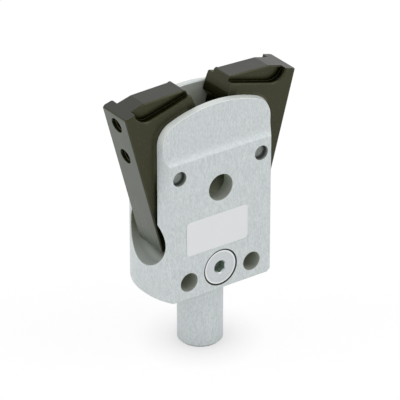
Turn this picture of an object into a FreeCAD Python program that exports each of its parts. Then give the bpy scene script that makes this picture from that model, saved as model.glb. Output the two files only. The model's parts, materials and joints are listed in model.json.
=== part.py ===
import FreeCAD, Part
import math
import os
import Sketcher
from FreeCAD import Placement, Rotation, Vector

# Angular gripper: a slotted round body on a clamping shank, two jaws on cross pins, and two opposed
# pistons in a cross bore that push the jaw tails outwards. Millimetres, +Z up along the shank, the
# front flat faces -Y, the origin is the centre of the shank's end. The jaws are modelled open.

doc = FreeCAD.newDocument("AngularGripper")

# Driving sizes. Heights in the body are measured from its lower face, where the shank begins.
# Sizes of the jaw are measured from its pin, across the jaw and along it.
DRIVING_SIZES = [
    ("shank_diameter", 12.0, "clamping shank"),
    ("shank_length", 18.7, "shank below the body"),
    ("shank_chamfer", 0.5, "chamfer on the end of the shank"),
    ("body_diameter", 36.0, "round of the body"),
    ("body_thickness", 18.2, "across the front and rear flats"),
    ("body_chamfer", 0.8, "chamfer round the lower face of the body"),
    ("dome_height", 52.6, "top of the domed end"),
    ("dome_radius", 36.0, "radius of the domed end"),
    ("dome_flat", 6.0, "flat at the middle of the dome, cut away by the slot"),
    ("dome_corner", 6.0, "radius from the dome into the round"),
    ("recess_height", 39.0, "lower edge of the thinned top"),
    ("recess_depth", 1.65, "depth of the thinned top on each flat"),
    ("recess_radius", 5.0, "cutter radius of the ramp into the thinned top"),
    ("slot_width", 10.9, "jaw slot"),
    ("slot_chamfer", 0.35, "broken outer edges of the slot and the cross bore"),
    ("bore_diameter", 15.4, "cross bore of the pistons"),
    ("bore_height", 16.5, "axis of the cross bore"),
    ("cylinder_wall", 1.2, "metal between the cross bore and the floor of the slot"),
    ("pin_diameter", 4.0, "pivot pins"),
    ("pin_spacing", 25.0, "distance between the pivot pins"),
    ("pin_height", 35.0, "axis of the pivot pins"),
    ("pin_recess", 1.4, "pin ends below the flats"),
    ("window_diameter", 7.3, "window through both cheeks"),
    ("window_height", 29.0, "axis of the window"),
    ("mount_hole_diameter", 5.2, "fixing holes through the flats"),
    ("mount_hole_spacing", 19.4, "distance between the fixing holes"),
    ("mount_hole_height", 4.7, "axis of the fixing holes"),
    ("inlet_diameter", 4.2, "core of the air thread in the shank's end"),
    ("inlet_depth", 9.0, "depth of the air thread"),
    ("channel_diameter", 3.0, "air channel up to the cross bore"),
    ("port_height", 6.0, "axis of the front air port"),
    ("port_mouth_diameter", 10.2, "mouth of the front port"),
    ("port_mouth_depth", 0.9, "straight part of the mouth before its countersink"),
    ("port_seat_diameter", 7.4, "seat for the sealing ring"),
    ("port_seat_depth", 1.5, "length of that seat"),
    ("plug_diameter", 5.0, "thread of the plug"),
    ("plug_length", 4.0, "threaded length of the plug"),
    ("plug_head_sink", 0.15, "head of the plug below the flat"),
    ("plug_head_gap", 0.25, "gap round the head of the plug"),
    ("plug_socket", 3.0, "hexagon socket across its flats"),
    ("plug_socket_mouth", 3.8, "countersunk mouth of the socket"),
    ("plug_socket_depth", 2.6, "depth of the socket"),
    ("jaw_thickness", 10.2, "jaw across the slot"),
    ("jaw_tilt", 15.0, "lean of the open jaw in degrees"),
    ("jaw_swing", 18.0, "swing of the jaw from open to closed in degrees"),
    ("jaw_outer", 8.2, "pin to the outer face"),
    ("jaw_reach", 11.55, "pin to the gripping face"),
    ("jaw_top", 21.2, "pin up to the top of the jaw"),
    ("jaw_chamfer", 0.3, "broken edges of the jaw"),
    ("kink_offset", 0.9, "pin across to where the rib's top turns down"),
    ("tip_height", 18.6, "pin up to the tip of the rib"),
    ("tip_radius", 0.8, "rounded tip of the rib"),
    ("rib_thickness", 6.3, "rib left between the side pockets"),
    ("pocket_floor", 17.2, "pin up to the floor of the side pockets"),
    ("pocket_wall", 3.1, "wall between the side pockets and the outer face"),
    ("pocket_radius", 3.8, "cutter radius at the end of the side pockets"),
    ("grip_bottom", 12.1, "pin up to the lower end of the gripping face"),
    ("grip_top", 14.6, "pin up to where the gripping face begins to lean back"),
    ("grip_lean", 0.45, "how far it leans back at the tip"),
    ("grip_relief", 1.75, "relief below the gripping face"),
    ("jaw_hole_diameter", 4.2, "core of the threads in the outer face"),
    ("jaw_hole_edge", 3.6, "top of the jaw to the upper thread"),
    ("jaw_hole_spacing", 9.6, "distance between the threads"),
    ("jaw_hole_depth", 7.0, "depth of the threads"),
    ("web_height", 1.0, "pin up to the foot of the inner wall"),
    ("web_drop", 9.0, "pin down to the root of the tail"),
    ("tail_thickness", 5.2, "tail that the piston pushes"),
    ("tail_overhang", 2.0, "tail past the piston's axis"),
    ("tail_gap", 0.6, "open tail to the end of the cylinder"),
    ("bush_diameter", 6.0, "pivot bush, outside"),
    ("washer_diameter", 8.0, "thrust washers, outside"),
    ("running_clearance", 0.03, "radial clearance of pins and seals"),
    ("side_clearance", 0.05, "jaw to thrust washer"),
    ("piston_clearance", 0.05, "radial clearance of the pistons"),
    ("piston_gap", 0.8, "gap between the two pistons when open"),
    ("piston_length", 6.0, "length of the piston's head"),
    ("seal_section", 1.8, "section of the square piston seals"),
    ("thrust_diameter", 3.0, "thrust pin"),
    ("thrust_depth", 4.0, "thrust pin set into the piston"),
    ("thrust_clearance", 0.1, "thrust pin to the open tail"),
    ("spring_height", 6.0, "pin up to the spring's pocket"),
    ("spring_pocket_diameter", 7.0, "pocket for the spring's end"),
    ("spring_pocket_depth", 3.0, "depth of that pocket"),
    ("spring_diameter", 3.6, "spring, outside"),
    ("spring_wire", 0.7, "wire of the spring"),
    ("spring_turns", 5.0, "turns of the spring"),
]

sizes = doc.addObject("Spreadsheet::Sheet", "Sizes")
for row, (alias, value, meaning) in enumerate(DRIVING_SIZES, start=1):
    sizes.set(f"A{row}", meaning)
    sizes.set(f"B{row}", str(value))
    sizes.setAlias(f"B{row}", alias)
doc.recompute()


def size(expression):
    return float(sizes.evalExpression(expression))


# Places and sizes that follow from the driving sizes.
BODY_RADIUS = "(Sizes.body_diameter / 2)"
SHANK_RADIUS = "(Sizes.shank_diameter / 2)"
BASE_Z = "Sizes.shank_length"
HALF_THICKNESS = "(Sizes.body_thickness / 2)"
TOP_Z = f"({BASE_Z} + Sizes.dome_height)"
PIN_X = "(Sizes.pin_spacing / 2)"
PIN_Z = f"({BASE_Z} + Sizes.pin_height)"
BORE_Z = f"({BASE_Z} + Sizes.bore_height)"
BORE_RADIUS = "(Sizes.bore_diameter / 2)"
SLOT_FLOOR_Z = f"({BORE_Z} + {BORE_RADIUS} + Sizes.cylinder_wall)"
PORT_Z = f"({BASE_Z} + Sizes.port_height)"
PORT_CONE = "((Sizes.port_mouth_diameter - Sizes.port_seat_diameter) / 2)"
PORT_SEAT_DEPTH = f"(Sizes.port_mouth_depth + {PORT_CONE})"
TILT = "(Sizes.jaw_tilt * 1 deg)"
CLOSED_TILT = "((Sizes.jaw_tilt - Sizes.jaw_swing) * 1 deg)"
PISTON_DROP = "(Sizes.pin_height - Sizes.bore_height)"
TAIL_LENGTH = f"({PISTON_DROP} + Sizes.tail_overhang)"
TAIL_INNER = "(Sizes.jaw_outer - Sizes.tail_thickness)"
INNER_WALL = "(Sizes.jaw_reach - Sizes.grip_relief)"

# The closed part of the cross bore ends just short of the open tails.
CYLINDER_HALF = f"({PIN_X} + {TAIL_INNER} * cos({TILT}) - {TAIL_LENGTH} * sin({TILT}) - Sizes.tail_gap)"

# Points closer than this to an edge or a face are taken to lie on it.
NEAR = 0.005


def new_body(label):
    body = doc.addObject("PartDesign::Body", label)
    body.Label = label
    return body


def plane(body, role):
    return next(feature for feature in body.Origin.OriginFeatures if feature.Role == role)


def new_sketch(body, name, role, offset=None, rise=None):
    sketch = body.newObject("Sketcher::SketchObject", name)
    sketch.AttachmentSupport = [(plane(body, role), "")]
    sketch.MapMode = "FlatFace"
    if offset:
        sketch.setExpression("AttachmentOffset.Base.z", offset)
    if rise:
        sketch.setExpression("AttachmentOffset.Base.y", rise)
    return sketch


def bind(sketch, index, expression):
    sketch.setExpression(f"Constraints[{index}]", expression)


def pin_point(sketch, geometry, position, x, y):
    for kind, expression in (("DistanceX", x), ("DistanceY", y)):
        constraint = Sketcher.Constraint(kind, -1, 1, geometry, position, size(expression))
        bind(sketch, sketch.addConstraint(constraint), expression)


def add_arc(sketch, start, end, radius, side):
    # The arc bulges to the right of the way from start to end (side 1) or to the left (side -1).
    chord = end - start
    half = chord.Length / 2
    left = Vector(-chord.y, chord.x, 0).normalize()
    centre = (start + end) * 0.5 + left * (side * math.sqrt(max(radius * radius - half * half, 0.0)))
    first, last = (start, end) if side > 0 else (end, start)
    begin = math.atan2(first.y - centre.y, first.x - centre.x)
    sweep = (math.atan2(last.y - centre.y, last.x - centre.x) - begin) % (2 * math.pi)
    circle = Part.Circle(centre, Vector(0, 0, 1), radius)
    geometry = sketch.addGeometry(Part.ArcOfCircle(circle, begin, begin + sweep))
    return (geometry, 1, 2) if side > 0 else (geometry, 2, 1)


def draw_outline(sketch, corners):
    # A corner is (x, y), or (x, y, radius, side) where an arc leads on to the next corner.
    points = [Vector(size(corner[0]), size(corner[1]), 0) for corner in corners]
    count = len(corners)
    edges = []
    for index, corner in enumerate(corners):
        start = points[index]
        end = points[(index + 1) % count]
        if len(corner) > 2:
            edges.append(add_arc(sketch, start, end, size(corner[2]), corner[3]))
        else:
            edges.append((sketch.addGeometry(Part.LineSegment(start, end)), 1, 2))
    for index, corner in enumerate(corners):
        geometry, first, last = edges[index]
        following, onward, _ = edges[(index + 1) % count]
        sketch.addConstraint(Sketcher.Constraint("Coincident", geometry, last, following, onward))
        pin_point(sketch, geometry, first, corner[0], corner[1])
        if len(corner) > 2:
            constraint = Sketcher.Constraint("Radius", geometry, size(corner[2]))
            bind(sketch, sketch.addConstraint(constraint), corner[2])


def draw_circle(sketch, x, y, diameter):
    centre = Vector(size(x), size(y), 0)
    circle = Part.Circle(centre, Vector(0, 0, 1), size(diameter) / 2)
    geometry = sketch.addGeometry(circle)
    pin_point(sketch, geometry, 3, x, y)
    constraint = Sketcher.Constraint("Diameter", geometry, size(diameter))
    bind(sketch, sketch.addConstraint(constraint), diameter)


def pad(body, name, sketch, length):
    feature = body.newObject("PartDesign::Pad", name)
    feature.Profile = sketch
    feature.SideType = "Symmetric"
    feature.setExpression("Length", length)
    return feature


def revolve(body, name, sketch, axis, kind="PartDesign::Revolution"):
    feature = body.newObject(kind, name)
    feature.Profile = sketch
    feature.ReferenceAxis = (sketch, [axis])
    feature.Angle = 360
    return feature


def pocket(body, name, sketch, length=None, symmetric=True, reverse=False):
    feature = body.newObject("PartDesign::Pocket", name)
    feature.Profile = sketch
    feature.SideType = "Symmetric" if symmetric else "One side"
    feature.Reversed = reverse
    if length:
        feature.setExpression("Length", length)
    else:
        feature.Type = "ThroughAll"
    return feature


def mirrored(body, name, feature, role):
    mirror = body.newObject("PartDesign::Mirrored", name)
    mirror.Originals = [feature]
    mirror.MirrorPlane = (plane(body, role), [""])
    body.Tip = mirror
    return mirror


def break_edges(body, name, test, width):
    # Chamfers every edge of the body so far whose sampled points all pass the test.
    doc.recompute()
    base = body.Tip
    chosen = [
        f"Edge{number}"
        for number, edge in enumerate(base.Shape.Edges, start=1)
        if all(test(point) for point in edge.discretize(Number=5))
    ]
    feature = body.newObject("PartDesign::Chamfer", name)
    feature.Base = (base, chosen)
    feature.setExpression("Size", width)
    body.Tip = feature
    return feature


def place(body, x="0", y="0", z="0"):
    for axis, expression in (("x", x), ("y", y), ("z", z)):
        if expression != "0":
            body.setExpression(f"Placement.Base.{axis}", expression)


def turn(body, axis, angle):
    body.Placement = Placement(Vector(), Rotation(axis, size(angle)))
    body.setExpression("Placement.Rotation.Angle", f"{angle} * 1 deg")


def make_gripper_body():
    body = new_body("gripper_body")

    # Turned blank: shank, round and domed end with a rounded corner.
    corner_x = f"({BODY_RADIUS} - Sizes.dome_corner)"
    dome_centre_z = f"({TOP_Z} - Sizes.dome_radius)"
    corner_reach = "(Sizes.dome_radius - Sizes.dome_corner)"
    corner_z = f"({dome_centre_z} + sqrt({corner_reach} ^ 2 - {corner_x} ^ 2))"
    growth = f"(Sizes.dome_radius / {corner_reach})"
    flat_z = f"({dome_centre_z} + sqrt(Sizes.dome_radius ^ 2 - (Sizes.dome_flat / 2) ^ 2))"
    blank = new_sketch(body, "blank_profile", "XZ_Plane")
    draw_outline(blank, [
        ("0", "0"),
        (f"{SHANK_RADIUS} - Sizes.shank_chamfer", "0"),
        (SHANK_RADIUS, "Sizes.shank_chamfer"),
        (SHANK_RADIUS, BASE_Z),
        (f"{BODY_RADIUS} - Sizes.body_chamfer", BASE_Z),
        (BODY_RADIUS, f"{BASE_Z} + Sizes.body_chamfer"),
        (BODY_RADIUS, corner_z, "Sizes.dome_corner", 1),
        (f"{corner_x} * {growth}", f"{dome_centre_z} + ({corner_z} - {dome_centre_z}) * {growth}",
         "Sizes.dome_radius", 1),
        ("Sizes.dome_flat / 2", flat_z),
        ("0", flat_z),
    ])
    revolve(body, "blank", blank, "V_Axis")

    # Front and rear flats, thinned towards the top over a concave ramp.
    outside = f"-({BODY_RADIUS} + 1)"
    above = f"{TOP_Z} + 1"
    ramp_rise = "sqrt(2 * Sizes.recess_radius * Sizes.recess_depth - Sizes.recess_depth ^ 2)"
    recess_z = f"({BASE_Z} + Sizes.recess_height)"
    flat = new_sketch(body, "flat_profile", "YZ_Plane")
    draw_outline(flat, [
        (outside, BASE_Z),
        (f"-{HALF_THICKNESS}", BASE_Z),
        (f"-{HALF_THICKNESS}", recess_z, "Sizes.recess_radius", 1),
        (f"-{HALF_THICKNESS} + Sizes.recess_depth", f"{recess_z} + {ramp_rise}"),
        (f"-{HALF_THICKNESS} + Sizes.recess_depth", above),
        (outside, above),
    ])
    flat_cut = pocket(body, "front_flat", flat)
    mirrored(body, "rear_flat", flat_cut, "XZ_Plane")

    # Jaw slot: down to the cross bore at both sides, stepped up over the cylinder in the middle.
    slot = new_sketch(body, "slot_profile", "XZ_Plane")
    side = f"({BODY_RADIUS} + 1)"
    draw_outline(slot, [
        (f"-{side}", BORE_Z),
        (f"-{CYLINDER_HALF}", BORE_Z),
        (f"-{CYLINDER_HALF}", SLOT_FLOOR_Z),
        (CYLINDER_HALF, SLOT_FLOOR_Z),
        (CYLINDER_HALF, BORE_Z),
        (side, BORE_Z),
        (side, above),
        (f"-{side}", above),
    ])
    pocket(body, "jaw_slot", slot, "Sizes.slot_width")

    bore = new_sketch(body, "bore_profile", "YZ_Plane")
    draw_circle(bore, "0", BORE_Z, "Sizes.bore_diameter")
    pocket(body, "cross_bore", bore)

    # Holes through the flats: pivot pins, window and fixing holes.
    holes = new_sketch(body, "flat_holes", "XZ_Plane")
    for sign in ("-", ""):
        draw_circle(holes, f"{sign}{PIN_X}", PIN_Z, "Sizes.pin_diameter")
        draw_circle(holes, f"{sign}(Sizes.mount_hole_spacing / 2)", f"{BASE_Z} + Sizes.mount_hole_height",
                    "Sizes.mount_hole_diameter")
    draw_circle(holes, "0", f"{BASE_Z} + Sizes.window_height", "Sizes.window_diameter")
    pocket(body, "cross_holes", holes)

    # Air way: thread in the shank's end, channel up to the cross bore, countersunk port in front.
    inlet = new_sketch(body, "inlet_profile", "XY_Plane")
    draw_circle(inlet, "0", "0", "Sizes.inlet_diameter")
    pocket(body, "air_inlet", inlet, "Sizes.inlet_depth", symmetric=False, reverse=True)
    channel = new_sketch(body, "channel_profile", "XY_Plane")
    draw_circle(channel, "0", "0", "Sizes.channel_diameter")
    pocket(body, "air_channel", channel, BORE_Z, symmetric=False, reverse=True)
    port = new_sketch(body, "port_profile", "YZ_Plane", rise=PORT_Z)
    cone_start = f"(-{HALF_THICKNESS} + Sizes.port_mouth_depth)"
    seat_start = f"(-{HALF_THICKNESS} + {PORT_SEAT_DEPTH})"
    draw_outline(port, [
        (f"-{HALF_THICKNESS}", "0"),
        ("0", "0"),
        ("0", "Sizes.plug_diameter / 2"),
        (f"{seat_start} + Sizes.port_seat_depth", "Sizes.plug_diameter / 2"),
        (f"{seat_start} + Sizes.port_seat_depth", "Sizes.port_seat_diameter / 2"),
        (seat_start, "Sizes.port_seat_diameter / 2"),
        (cone_start, "Sizes.port_mouth_diameter / 2"),
        (f"-{HALF_THICKNESS}", "Sizes.port_mouth_diameter / 2"),
    ])
    revolve(body, "front_port", port, "H_Axis", "PartDesign::Groove")

    # Broken edges where the slot and the cross bore come out of the round and the dome.
    half_slot = size("Sizes.slot_width / 2")
    radius = size(BODY_RADIUS)
    bore_radius = size(BORE_RADIUS)
    bore_z = size(BORE_Z)
    dome_z = size(corner_z)

    def on_round(point):
        return math.hypot(point.x, point.y) > radius - NEAR or point.z > dome_z + NEAR

    def on_slot_edge(point):
        return abs(abs(point.y) - half_slot) < NEAR and on_round(point)

    def on_bore_edge(point):
        return abs(math.hypot(point.y, point.z - bore_z) - bore_radius) < NEAR and on_round(point)

    break_edges(body, "mouth_edges", lambda point: on_slot_edge(point) or on_bore_edge(point),
                "Sizes.slot_chamfer")
    return body


def make_port_plug():
    # Countersunk socket screw, modelled along Y with its head at the front. Its right-angled cone
    # sits on the countersink of the port.
    body = new_body("port_plug")
    head_radius = "(Sizes.port_mouth_diameter / 2 - Sizes.plug_head_gap)"
    neck_radius = "(Sizes.port_seat_diameter / 2 - Sizes.plug_head_gap)"
    thread_radius = "(Sizes.plug_diameter / 2 - Sizes.running_clearance)"
    rim = "(Sizes.port_mouth_depth + Sizes.plug_head_gap - Sizes.plug_head_sink)"
    neck = f"({rim} + {PORT_CONE})"
    end = f"({neck} + Sizes.port_seat_depth + Sizes.plug_length)"
    sketch = new_sketch(body, "plug_profile", "YZ_Plane")
    draw_outline(sketch, [
        ("0", "0"),
        ("0", head_radius),
        (rim, head_radius),
        (neck, neck_radius),
        (neck, thread_radius),
        (end, thread_radius),
        (end, "0"),
    ])
    revolve(body, "screw", sketch, "H_Axis")
    mouth = new_sketch(body, "mouth_profile", "YZ_Plane")
    draw_outline(mouth, [
        ("0", "0"),
        ("0", "Sizes.plug_socket_mouth / 2"),
        ("Sizes.plug_socket_mouth / 2", "0"),
    ])
    revolve(body, "socket_mouth", mouth, "H_Axis", "PartDesign::Groove")
    socket = new_sketch(body, "socket_profile", "XZ_Plane")
    corner = "(Sizes.plug_socket / sqrt(3))"
    draw_outline(socket, [
        (f"{corner} * cos({step * 60 + 30} deg)", f"{corner} * sin({step * 60 + 30} deg)")
        for step in range(6)
    ])
    pocket(body, "socket", socket, "Sizes.plug_socket_depth", symmetric=False, reverse=False)
    place(body, y=f"-{HALF_THICKNESS} + Sizes.plug_head_sink", z=PORT_Z)
    return body


def make_port_plug_seal():
    # Square ring under the head, on the floor of its seat.
    outer = "Sizes.port_seat_diameter - 2 * Sizes.running_clearance"
    inner = "Sizes.plug_diameter + 2 * Sizes.running_clearance"
    length = "((Sizes.port_seat_diameter - Sizes.plug_diameter) / 2)"
    y = f"-{HALF_THICKNESS} + {PORT_SEAT_DEPTH} + Sizes.port_seat_depth - {length} / 2"
    return make_ring("port_plug_seal", "XZ_Plane", outer, inner, length, y=y, z=PORT_Z)


def make_jaw(side):
    # side is 1 for the right jaw and -1 for the left one, which is its mirror image.
    name = "right_jaw" if side > 0 else "left_jaw"
    sign = "" if side > 0 else "-"
    body = new_body(name)

    def across(expression):
        return f"{sign}({expression})"

    # Side outline, with broken corners at the top of the outer face and at the tail.
    jaw = new_sketch(body, "jaw_profile", "XZ_Plane")
    tail = f"-{TAIL_LENGTH}"
    chamfer = "Sizes.jaw_chamfer"
    tip_face = "(-Sizes.jaw_reach + Sizes.grip_lean)"
    draw_outline(jaw, [
        (across(f"Sizes.jaw_outer - {chamfer}"), tail),
        (across("Sizes.jaw_outer"), f"{tail} + {chamfer}"),
        (across("Sizes.jaw_outer"), f"Sizes.jaw_top - {chamfer}"),
        (across(f"Sizes.jaw_outer - {chamfer}"), "Sizes.jaw_top"),
        (across("Sizes.kink_offset"), "Sizes.jaw_top"),
        (across(f"{tip_face} + Sizes.tip_radius"), "Sizes.tip_height", "Sizes.tip_radius", side),
        (across(tip_face), "Sizes.tip_height - Sizes.tip_radius"),
        (across("-Sizes.jaw_reach"), "Sizes.grip_top"),
        (across("-Sizes.jaw_reach"), "Sizes.grip_bottom"),
        (across(f"-{INNER_WALL}"), "Sizes.grip_bottom - Sizes.grip_relief"),
        (across(f"-{INNER_WALL}"), "Sizes.web_height"),
        (across(TAIL_INNER), "-Sizes.web_drop"),
        (across(TAIL_INNER), tail),
    ])
    pad(body, "jaw_blank", jaw, "Sizes.jaw_thickness")

    # Side pockets, open at the tip, that leave the middle rib.
    pocket_end = "(Sizes.jaw_outer - Sizes.pocket_wall)"
    arc_end = f"({pocket_end} - Sizes.pocket_radius)"
    arc_top = "(Sizes.pocket_floor + Sizes.pocket_radius)"
    beyond = "(-Sizes.jaw_reach - 1)"
    above = f"{arc_top} + 1"
    side_pocket = new_sketch(body, "pocket_profile", "XZ_Plane", offset="Sizes.rib_thickness / 2")
    draw_outline(side_pocket, [
        (across(beyond), "Sizes.pocket_floor"),
        (across(arc_end), "Sizes.pocket_floor", "Sizes.pocket_radius", side),
        (across(pocket_end), arc_top),
        (across(pocket_end), above),
        (across(beyond), above),
    ])
    cut = pocket(body, "front_pocket", side_pocket, symmetric=False, reverse=True)
    mirrored(body, "rear_pocket", cut, "XZ_Plane")

    # Seat of the pivot bush.
    pivot = new_sketch(body, "pivot_profile", "XZ_Plane")
    draw_circle(pivot, "0", "0", "Sizes.bush_diameter")
    pocket(body, "pivot_bore", pivot)

    # Two threads in the outer face, and the spring's pocket in the inner wall.
    threads = new_sketch(body, "thread_profile", "YZ_Plane", offset=across("Sizes.jaw_outer"))
    upper = "(Sizes.jaw_top - Sizes.jaw_hole_edge)"
    draw_circle(threads, "0", upper, "Sizes.jaw_hole_diameter")
    draw_circle(threads, "0", f"{upper} - Sizes.jaw_hole_spacing", "Sizes.jaw_hole_diameter")
    pocket(body, "finger_threads", threads, "Sizes.jaw_hole_depth", symmetric=False, reverse=side < 0)
    seat = new_sketch(body, "spring_profile", "YZ_Plane", offset=across(f"-{INNER_WALL}"))
    draw_circle(seat, "0", "Sizes.spring_height", "Sizes.spring_pocket_diameter")
    pocket(body, "spring_pocket", seat, "Sizes.spring_pocket_depth", symmetric=False, reverse=side > 0)

    # Broken edges down both sides of the outer face, along the side pockets and on top of the rib.
    half = size("Sizes.jaw_thickness / 2")
    half_rib = size("Sizes.rib_thickness / 2")
    outer = size(f"Sizes.jaw_outer - {chamfer}")
    floor = size("Sizes.pocket_floor")
    wall = size(pocket_end)
    kink = Vector(size("Sizes.kink_offset"), 0, size("Sizes.jaw_top"))
    tip = Vector(size(f"{tip_face} + Sizes.tip_radius"), 0, size("Sizes.tip_height"))

    def on_side_edge(point):
        on_outer = point.x * side > outer - NEAR
        on_pocket = point.z > floor - NEAR and point.x * side < wall + NEAR
        return abs(abs(point.y) - half) < NEAR and (on_outer or on_pocket)

    def on_rib_edge(point):
        share = min(1.0, (point.x * side - tip.x) / (kink.x - tip.x))
        crest = tip.z + (kink.z - tip.z) * share
        return abs(abs(point.y) - half_rib) < NEAR and abs(point.z - crest) < NEAR

    break_edges(body, "rib_edges", on_rib_edge, chamfer)
    break_edges(body, "jaw_edges", on_side_edge, chamfer)

    turn(body, Vector(0, side, 0), "Sizes.jaw_tilt")
    place(body, x=f"{sign}{PIN_X}", z=PIN_Z)
    return body


def make_rod(name, role, diameter, length, x, z):
    # Plain pin across the named plane, centred on the given place.
    body = new_body(name)
    sketch = new_sketch(body, "pin_profile", role)
    draw_circle(sketch, "0", "0", diameter)
    pad(body, "pin", sketch, length)
    place(body, x=x, z=z)
    return body


def make_pivot_pin(side):
    name = "right_pivot_pin" if side > 0 else "left_pivot_pin"
    length = "Sizes.body_thickness - 2 * Sizes.pin_recess"
    x = PIN_X if side > 0 else f"-{PIN_X}"
    return make_rod(name, "XZ_Plane", "Sizes.pin_diameter", length, x, PIN_Z)


def make_ring(name, role, outer, inner, length, x="0", y="0", z="0"):
    # Ring or bush across the named plane, centred on the given place.
    body = new_body(name)
    sketch = new_sketch(body, "ring_profile", role)
    draw_circle(sketch, "0", "0", outer)
    draw_circle(sketch, "0", "0", inner)
    pad(body, "ring", sketch, length)
    place(body, x=x, y=y, z=z)
    return body


def make_pivot_bush(side):
    name = "right_pivot_bush" if side > 0 else "left_pivot_bush"
    inner = "Sizes.pin_diameter + 2 * Sizes.running_clearance"
    x = PIN_X if side > 0 else f"-{PIN_X}"
    return make_ring(name, "XZ_Plane", "Sizes.bush_diameter", inner, "Sizes.jaw_thickness", x=x, z=PIN_Z)


def make_washer(side, face):
    # face is -1 for the washer on the front cheek and 1 for the one on the rear cheek.
    name = ("right" if side > 0 else "left") + ("_front" if face < 0 else "_rear") + "_washer"
    inner = "Sizes.pin_diameter + 2 * Sizes.running_clearance"
    thickness = "((Sizes.slot_width - Sizes.jaw_thickness) / 2 - Sizes.side_clearance)"
    y = f"{'-' if face < 0 else ''}(Sizes.slot_width / 2 - {thickness} / 2)"
    x = PIN_X if side > 0 else f"-{PIN_X}"
    return make_ring(name, "XZ_Plane", "Sizes.washer_diameter", inner, thickness, x=x, y=y, z=PIN_Z)


# The thrust pin stops just short of the tail of the open jaw. The seal sits in a rebate at the inner
# end of the piston, where the air holds it against the shoulder.
THRUST_RADIUS = "(Sizes.thrust_diameter / 2)"
THRUST_END = (f"({PIN_X} + {TAIL_INNER} / cos({TILT}) - ({PISTON_DROP} + {THRUST_RADIUS}) * tan({TILT})"
              f" - Sizes.thrust_clearance)")
PISTON_START = "(Sizes.piston_gap / 2)"
PISTON_END = f"({PISTON_START} + Sizes.piston_length)"
PISTON_RADIUS = f"({BORE_RADIUS} - Sizes.piston_clearance)"
THRUST_SEAT = f"({PISTON_END} - Sizes.thrust_depth)"
SEAL_OUTER = f"({BORE_RADIUS} - Sizes.running_clearance)"
REBATE_WIDTH = "(Sizes.seal_section + 2 * Sizes.running_clearance)"


def make_piston(side):
    body = new_body("right_piston" if side > 0 else "left_piston")
    sketch = new_sketch(body, "piston_profile", "XZ_Plane")
    rebate_floor = f"({SEAL_OUTER} - Sizes.seal_section - Sizes.running_clearance)"
    draw_outline(sketch, [
        (PISTON_START, "0"),
        (PISTON_START, rebate_floor),
        (f"{PISTON_START} + {REBATE_WIDTH}", rebate_floor),
        (f"{PISTON_START} + {REBATE_WIDTH}", PISTON_RADIUS),
        (PISTON_END, PISTON_RADIUS),
        (PISTON_END, THRUST_RADIUS),
        (THRUST_SEAT, THRUST_RADIUS),
        (THRUST_SEAT, "0"),
    ])
    revolve(body, "piston", sketch, "H_Axis")

    # Drawn for the right side, turned half round for the left one.
    if side < 0:
        body.Placement = Placement(Vector(), Rotation(Vector(0, 0, 1), 180))
    place(body, z=BORE_Z)
    return body


def make_thrust_pin(side):
    name = "right_thrust_pin" if side > 0 else "left_thrust_pin"
    middle = f"(({THRUST_SEAT} + {THRUST_END}) / 2)"
    x = middle if side > 0 else f"-{middle}"
    return make_rod(name, "YZ_Plane", "Sizes.thrust_diameter", f"{THRUST_END} - {THRUST_SEAT}", x, BORE_Z)


def make_piston_seal(side):
    name = "right_piston_seal" if side > 0 else "left_piston_seal"
    middle = f"({PISTON_START} + {REBATE_WIDTH} / 2)"
    x = middle if side > 0 else f"-{middle}"
    inner = f"2 * ({SEAL_OUTER} - Sizes.seal_section)"
    return make_ring(name, "YZ_Plane", f"2 * {SEAL_OUTER}", inner, "Sizes.seal_section", x=x, z=BORE_Z)


# Straight lengths in each turn of the spring's coil.
COIL_STEPS = 14


def make_return_spring():
    # Compression spring along X between the floors of the two pockets. Its axis is half way between
    # the heights of the pockets with the jaws open and closed, and it is a little shorter than the
    # nearest points of the open pockets.
    floor = f"({INNER_WALL} - Sizes.spring_pocket_depth)"
    open_height = f"({floor} * sin({TILT}) + Sizes.spring_height * cos({TILT}))"
    closed_height = f"({floor} * sin({CLOSED_TILT}) + Sizes.spring_height * cos({CLOSED_TILT}))"
    height = f"(({open_height} + {closed_height}) / 2)"
    reach = (f"({PIN_X} - {floor} * cos({TILT}) - Sizes.side_clearance"
             f" + ({height} - {floor} * sin({TILT}) - Sizes.spring_diameter / 2) * tan({TILT}))")
    mean_radius = "((Sizes.spring_diameter - Sizes.spring_wire) / 2)"
    coil_length = f"(2 * {reach} - Sizes.spring_wire)"

    radius = size(mean_radius)
    count = int(size("Sizes.spring_turns") * COIL_STEPS)
    rise = size(coil_length) / count
    coil = doc.addObject("Part::Polygon", "spring_coil")
    coil.Nodes = [
        Vector(radius * math.cos(angle), radius * math.sin(angle), rise * step)
        for step, angle in ((step, 2 * math.pi * step / COIL_STEPS) for step in range(count + 1))
    ]
    wire = doc.addObject("Part::RegularPolygon", "spring_section")
    wire.Polygon = 4
    wire.Placement = Placement(Vector(), Rotation(Vector(1, 0, 0), 90))
    wire.setExpression("Circumradius", "Sizes.spring_wire / 2")
    wire.setExpression("Placement.Base.x", mean_radius)
    spring = doc.addObject("Part::Sweep", "return_spring")
    spring.Label = "return_spring"
    spring.Sections = [wire]
    spring.Spine = (coil, [])
    spring.Solid = True
    spring.Transition = "Right corner"
    spring.Placement = Placement(Vector(), Rotation(Vector(0, 1, 0), 90))
    place(spring, x=f"-({coil_length} / 2)", z=f"{PIN_Z} + {height}")
    return spring


parts = [make_gripper_body(), make_port_plug(), make_port_plug_seal(), make_return_spring()]
for hand in (-1, 1):
    parts.append(make_jaw(hand))
    parts.append(make_pivot_pin(hand))
    parts.append(make_pivot_bush(hand))
    parts.append(make_washer(hand, -1))
    parts.append(make_washer(hand, 1))
    parts.append(make_piston(hand))
    parts.append(make_piston_seal(hand))
    parts.append(make_thrust_pin(hand))
doc.recompute()

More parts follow.
